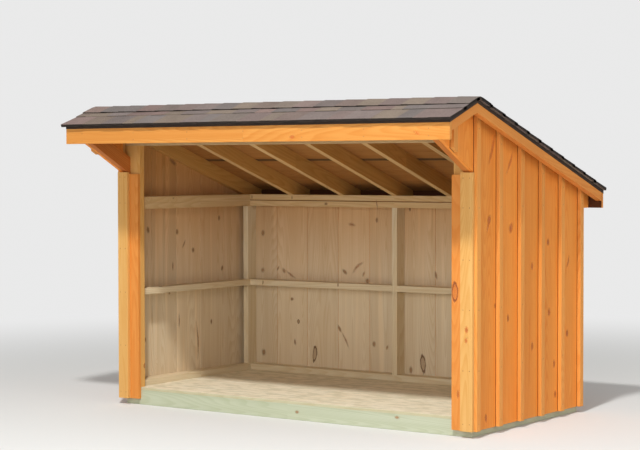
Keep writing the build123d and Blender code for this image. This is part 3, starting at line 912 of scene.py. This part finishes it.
@built_once
def granules():
    """Mineral granules on asphalt: each tab has a tone of its own, speckled by small stones."""
    material, s, surface = new_material("shingle_granules")
    place, tone = s.place(), s.attribute("tone", "Fac")
    base = np.array(tuple(bpy.context.scene.log_store_roof.shingle_colour))
    rose, slate, tan = (tuple(base * share) for share in
                        ((1.12, 0.97, 0.96), (0.9, 0.96, 1.0), (1.05, 1.03, 0.9)))
    other = s.maths("FRACT", s.times(tone, 3.77))
    colour = s.mix(s.span(tone, 0.1, 0.9, smooth=False), slate, rose)
    colour = s.mix(s.span(other, 0.45, 0.9), colour, tan)
    stones = s.node("ShaderNodeTexVoronoi", {"Vector": place, "Scale": 520.0}, feature="F1").outputs
    patch = s.noise(place, (7.0, 7.0, 7.0), 3.0, 0.6)
    share = s.line(s.split(stones["Color"])[0], 0.5, s.line(patch, 0.4, 0.5))
    share = s.maths("ADD", share, s.line(s.maths("FRACT", s.times(tone, 7.31)), 0.26, -0.13))
    s.fill(surface, {"Base Color": s.dim(colour, share), "Roughness": 0.92,
                     "Specular IOR Level": 0.25, "Normal": s.bump(stones["Distance"], 0.6, 0.0012)})
    return material


@built_once
def cut_asphalt():
    """The cut edges of the shingles: near-black asphalt felt with thin paler layers."""
    material, s, surface = new_material("cut_asphalt")
    layers = s.span(s.noise(s.place(), (20.0, 20.0, 700.0)), 0.4, 0.7)
    s.fill(surface, {"Base Color": s.mix(layers, linear(36, 30, 27), linear(62, 53, 47)),
                     "Roughness": 0.9, "Specular IOR Level": 0.2})
    return material


def course_prism(width, low, length, exposure, chance):
    """One course of laminated shingles as rings carried along X.

    Seen from the side, a ring rises from the deck to the butt's height, falls in a straight line to
    the course's upper end, and returns along the deck. The butt's height steps between thin and
    thick at random places along X, which makes the tabs. Returns x, along-slope and height
    arrays of shape (stations, points), and the tone of each station.
    """
    thin, thick, under, head = (SHINGLES - less for less in THINNER)
    floor = OFF_DECK
    cuts = np.cumsum(chance.uniform(*TAB_WIDTHS, 60))
    cuts = cuts[cuts < width - SHORTEST_TAB]
    start, stop = np.append(0.0, cuts), np.append(cuts, width)
    count = len(start)
    high = np.where((np.arange(count) + chance.integers(2)) % 2 == 0, thick, thin)
    high[[0, -1]] = thick
    high = high + chance.uniform(-0.0004, 0.0, count)
    drop = np.where(high > (thin + thick) / 2, 0.0, chance.uniform(0.001, 0.004, count))
    x = np.stack([start + TAB_SLOT / 2, stop - TAB_SLOT / 2], axis=1)
    x[0, 0], x[-1, 1] = 0.0, width
    high, butt = np.repeat(high, 2), low + np.repeat(drop, 2)
    tone = np.repeat(chance.random(count), 2)
    next_butt = low + min(exposure, length - 0.004)
    end = low + length
    along = (butt, butt, butt + 0.002, next_butt, end, end, next_butt, butt + 0.004)
    height = (floor, high - 0.001, high, under + floor, head + floor, floor, floor, floor)
    along, height = (np.stack(np.broadcast_arrays(*ring), axis=1) for ring in (along, height))
    return np.broadcast_to(x.reshape(-1, 1), along.shape), along, height, tone


class LOGSTORE_OT_shingles(bpy.types.Operator):
    """Lays the shingle courses of both slopes and bends the cap shingles over the ridge"""
    bl_idname = "logstore.shingles"
    bl_label = "Shingles"

    def execute(self, context):
        """The front slope, the rear slope and the ridge, with one row of random draws."""
        half = SHINGLE_HIGH[0]
        chance = np.random.default_rng(21)
        exposure = context.scene.log_store_roof.exposure
        self.lay_slope("front", SHINGLE_LOW[1], FRONT_SLOPE, 1, half, exposure, chance)
        self.lay_slope("rear", REAR_EAVE, REAR_SLOPE, -1, half, exposure, chance)
        self.cap_ridge(half, chance)
        return {"FINISHED"}

    def lay_slope(self, label, eave_y, slope, direction, half, exposure, chance):
        """Courses start at the eave; each one's upper end lies under the next one's butt."""
        unit = math.hypot(1, slope)
        step = np.array([direction, slope]) / unit
        normal = np.array([-direction * slope, 1]) / unit
        inset = (SHEATHING + SHINGLES) * slope
        run = abs(RIDGE_Y - eave_y) * unit - inset
        base = np.array([eave_y, float(roof_underside(eave_y))]) + normal * SHEATHING + step * inset
        dark_butt = (np.arange(COURSE_POINTS) == 0).astype(int)
        courses, tones, total = [], [], 0
        for number in range(int(math.ceil(run / exposure))):
            low = number * exposure
            length = min(exposure + COURSE_LAP, run - low - COURSE_GAP)
            if length < SHORTEST_COURSE:
                continue
            x, along, height, tone = course_prism(2 * half, low + 0.0005, length, exposure, chance)
            yz = base + along[..., None] * step + height[..., None] * normal
            ring = np.concatenate([(x - half)[..., None], yz], axis=-1)
            vertices, faces, marks = skin(ring[None], dark_butt, 1)
            courses.append((vertices, faces + total, marks))
            tones.append(np.repeat(tone, COURSE_POINTS))
            total += len(vertices)
        make_piece(f"{label}_slope_shingles", "shingle", (f"{label}_shingles",),
                   [granules(), cut_asphalt()], *map(np.concatenate, zip(*courses)),
                   tone=np.concatenate(tones))

    def cap_ridge(self, half, chance):
        """Cap shingles: a bent strip carried along X, thick at its butt and thin at its head.

        Across the ridge it follows both slopes, lowered near the bend by the bell curve
        bend * exp(-(distance / reach) squared).
        """
        reach = np.linspace(0, 1, 5)
        y = RIDGE_Y + np.concatenate([-reach[::-1] * CAP_WIDTH * math.cos(FRONT_ANGLE),
                                      reach[1:] * CAP_WIDTH * math.cos(REAR_ANGLE)])
        unit = np.where(y < RIDGE_Y, math.hypot(1, FRONT_SLOPE), math.hypot(1, REAR_SLOPE))
        deck = roof_underside(y) + unit * (SHEATHING + SHINGLES)
        soft = CAP_BEND * np.exp(-((y - RIDGE_Y) / CAP_BEND_REACH) ** 2)
        upper = deck - soft + np.array([CAP_BUTT, CAP_TOP, CAP_HEAD])[:, None]
        lower = np.broadcast_to(deck - CAP_UNDER - soft, upper.shape)
        z = np.concatenate([upper, lower[:, ::-1]], axis=1) - CAP_SINK
        points = 2 * len(y)
        dark_rim = np.isin(np.arange(points), (points // 2 - 1, points - 1)).astype(int)
        stack, tones = [], []
        for number in range(int(math.ceil(2 * half / CAP_REVEAL))):
            start = -half + number * CAP_REVEAL
            stop = min(start + CAP_REVEAL + CAP_LAP, half)
            x = np.array([start, start + 0.002, stop])[:, None]
            ring_y = np.concatenate([y, y[::-1]])
            stack.append(np.stack(np.broadcast_arrays(x, ring_y, z), axis=-1))
            tones.append(np.full(z.shape, chance.random()))
        make_piece("ridge_cap_shingles", "shingle", ("ridge_cap",), [granules(), cut_asphalt()],
                   *skin(np.stack(stack), dark_rim, 1), tone=np.stack(tones).reshape(-1))


class LOGSTORE_OT_sheathing(bpy.types.Operator):
    """Lays the rear slope's sheathing as two courses of panels with open joints"""
    bl_idname = "logstore.sheathing"
    bl_label = "Rear sheathing"

    def execute(self, context):
        """Each panel is a sloping slab, from the roof boards' underside to a thickness above it.

        The panels of a course butt over the rafters.
        """
        half = PANELS_HIGH[0]
        rise = SHEATHING * math.hypot(1, REAR_SLOPE)
        chance = np.random.default_rng(5)
        stack, tone = [], []
        for back, front, breaks in ((RIDGE_Y, PANEL_JOINT - PANEL_GAP, (0.0,)),
                                    (PANEL_JOINT, PANELS_HIGH[1], (-RAFTER_PITCH, RAFTER_PITCH))):
            y = np.array([back, back, front, front])
            z = roof_underside(y) + rise * np.array([0, 1, 1, 0])
            edges = (-half, *breaks, half)
            for left, right in zip(edges, edges[1:]):
                left += PANEL_GAP / 2 * (left != -half)
                right -= PANEL_GAP / 2 * (right != half)
                x = np.array([[left], [right]])
                stack.append(np.stack(np.broadcast_arrays(x, y, z), axis=-1))
                tone.append(np.full((2, 4), chance.random()))
        stack = np.stack(stack)
        vertices, faces, _ = skin(stack)
        make_piece("rear_sheathing_panels", "sheathing", ("rear_sheathing",),
                   [finish("roof_panels")], vertices, faces, grain=vertices[:, [1, 2, 0]],
                   tone=np.stack(tone).reshape(-1))
        return {"FINISHED"}


class LOGSTORE_OT_drip_edges(bpy.types.Operator):
    """Gives the drip edges their dark painted metal"""
    bl_idname = "logstore.drip_edges"
    bl_label = "Drip edges"

    def execute(self, context):
        """Dark brown paint with faint dust and small ripples in the thin sheet."""
        material, s, surface = new_material("brown_painted_metal")
        place = s.place()
        dust = s.noise(place, (9.0, 9.0, 30.0), 4.0, 0.6)
        colour = s.mix(s.span(dust, 0.4, 0.75), linear(52, 40, 32), linear(74, 58, 46))
        ripple = s.noise(place, (3.0, 3.0, 3.0), 1.0)
        s.fill(surface, {"Base Color": colour, "Roughness": s.span(dust, 0.3, 0.8, 0.6, 0.8),
                         "Specular IOR Level": 0.25, "Normal": s.bump(ripple, 0.2, 0.002)})
        for name in ("front_drip_edge", "rear_drip_edge", "rake_drip_edges"):
            coat(name, material)
        return {"FINISHED"}


class LOGSTORE_OT_stage(bpy.types.Operator):
    """Sets the pale floor, the soft lamps and the camera at the photograph's angle"""
    bl_idname = "logstore.stage"
    bl_label = "Stage"

    def execute(self, context):
        """The floor, the sky, the lamps and the camera, seen without a filmic curve."""
        stage = context.scene.log_store_stage
        self.lay_floor(context.scene, stage)
        self.hang_sky(context.scene, stage)
        self.place_lamps(context.scene, stage.key_power)
        self.aim_camera(context.scene)
        context.scene.view_settings.view_transform = "Standard"
        return {"FINISHED"}

    def lay_floor(self, scene, stage):
        """A square floor that turns into the background from 2.2 to 7 m from the middle."""
        side = stage.floor_size / 2
        corners = [(x * side, y * side, -0.0005) for x, y in ((-1, -1), (1, -1), (1, 1), (-1, 1))]
        mesh = bpy.data.meshes.new("floor")
        mesh.from_pydata(corners, [], [[0, 1, 2, 3]])
        floor = bpy.data.objects.new("floor", mesh)
        scene.collection.objects.link(floor)
        material, s, surface = new_material("pale_floor")
        s.fill(surface, {"Base Color": (*stage.floor_colour, 1), "Roughness": 0.9})
        far = s.span(s.vector("LENGTH", s.place()), 2.2, 7.0)
        seen = s.node("ShaderNodeLightPath").outputs["Is Camera Ray"]
        glow = s.node("ShaderNodeEmission", {"Color": (1, 1, 1, 1), "Strength": stage.background})
        blend = s.node("ShaderNodeMixShader", {0: s.times(far, seen), 1: surface.outputs[0],
                                               2: glow.outputs[0]})
        s.fill(s.tree.nodes["Material Output"], {"Surface": blend.outputs[0]})
        mesh.materials.append(material)

    def hang_sky(self, scene, stage):
        """Even light from all sides, brighter where the camera, glass or gloss sees it."""
        scene.world = bpy.data.worlds.new("soft_sky")
        scene.world.use_nodes = True
        s = Sheet(scene.world.node_tree)
        rays = s.node("ShaderNodeLightPath").outputs
        seen = s.maths("MAXIMUM", rays["Is Camera Ray"], rays["Is Glossy Ray"])
        seen = s.maths("MAXIMUM", seen, rays["Is Transmission Ray"])
        strength = s.line(seen, stage.background - stage.fill_strength, stage.fill_strength)
        s.fill(s.tree.nodes["Background"], {"Color": (1, 1, 1, 1), "Strength": strength})

    def place_lamps(self, scene, power):
        """A high lamp from the front right, and two broad weak ones from the front and side."""
        for name, place, aim, size, share in (
                ("key", (2.2, -5.4, 8.0), (0.2, -0.3, 0.8), 0.7, 1.0),
                ("front_fill", (3.5, -9.5, 3.2), (0.0, 0.0, 0.8), 5.0, 0.38),
                ("side_fill", (9.0, -1.5, 3.6), (0.0, 0.0, 0.8), 5.0, 0.2)):
            lamp = bpy.data.lights.new(name, "AREA")
            lamp.shape = "DISK"
            lamp.size = size
            lamp.energy = power * share
            holder = bpy.data.objects.new(name, lamp)
            holder.location = place
            way = np.array(aim) - np.array(place)
            holder.rotation_euler = (math.acos(-way[2] / np.linalg.norm(way)), 0,
                                     math.atan2(way[1], way[0]) - math.pi / 2)
            scene.collection.objects.link(holder)

    def aim_camera(self, scene):
        """The place, turn and lens that were fitted to the photograph, 640 pixels wide."""
        yaw, pitch, roll = 0.614775, -0.033550, -0.001736
        focal_pixels, photo_width = 1758.7, 640
        lens = bpy.data.cameras.new("camera")
        lens.sensor_width = 36.0
        lens.lens = focal_pixels / photo_width * lens.sensor_width
        lens.clip_end = 400.0
        camera = bpy.data.objects.new("camera", lens)
        camera.location = (5.9465, -8.7055, 1.4505)
        camera.rotation_euler = (Euler((math.pi / 2 + pitch, 0, yaw)).to_matrix()
                                 @ Euler((0, 0, roll)).to_matrix()).to_euler()
        scene.collection.objects.link(camera)
        scene.camera = camera


class LOGSTORE_PT_panel(bpy.types.Panel):
    """Lists the steps that build the log store's looks"""
    bl_idname = "LOGSTORE_PT_panel"
    bl_label = "Log store"
    bl_space_type = "VIEW_3D"
    bl_region_type = "UI"
    bl_category = "Log store"

    def draw(self, context):
        for operator in OPERATORS:
            self.layout.operator(operator.bl_idname)
        for key in ("exposure", "shingle_colour"):
            self.layout.prop(context.scene.log_store_roof, key)
        for key in ("floor_size", "floor_colour", "key_power", "fill_strength", "background"):
            self.layout.prop(context.scene.log_store_stage, key)


GROUPS = (LogStoreStage, LogStoreRoof)
OPERATORS = (
    LOGSTORE_OT_framing, LOGSTORE_OT_trim, LOGSTORE_OT_siding, LOGSTORE_OT_knots,
    LOGSTORE_OT_nails, LOGSTORE_OT_shingles, LOGSTORE_OT_sheathing, LOGSTORE_OT_drip_edges,
    LOGSTORE_OT_stage)


def register():
    for item in (*GROUPS, *OPERATORS, LOGSTORE_PT_panel):
        bpy.utils.register_class(item)
    bpy.types.Scene.log_store_stage = bpy.props.PointerProperty(type=LogStoreStage)
    bpy.types.Scene.log_store_roof = bpy.props.PointerProperty(type=LogStoreRoof)


def unregister():
    del bpy.types.Scene.log_store_roof
    del bpy.types.Scene.log_store_stage
    for item in reversed((*GROUPS, *OPERATORS, LOGSTORE_PT_panel)):
        bpy.utils.unregister_class(item)


def main():
    """Builds every piece in order."""
    register()
    bpy.ops.logstore.framing()
    bpy.ops.logstore.trim()
    bpy.ops.logstore.siding()
    bpy.ops.logstore.knots()
    bpy.ops.logstore.nails()
    bpy.ops.logstore.shingles()
    bpy.ops.logstore.sheathing()
    bpy.ops.logstore.drip_edges()
    bpy.ops.logstore.stage()


if __name__ == "__main__":
    main()
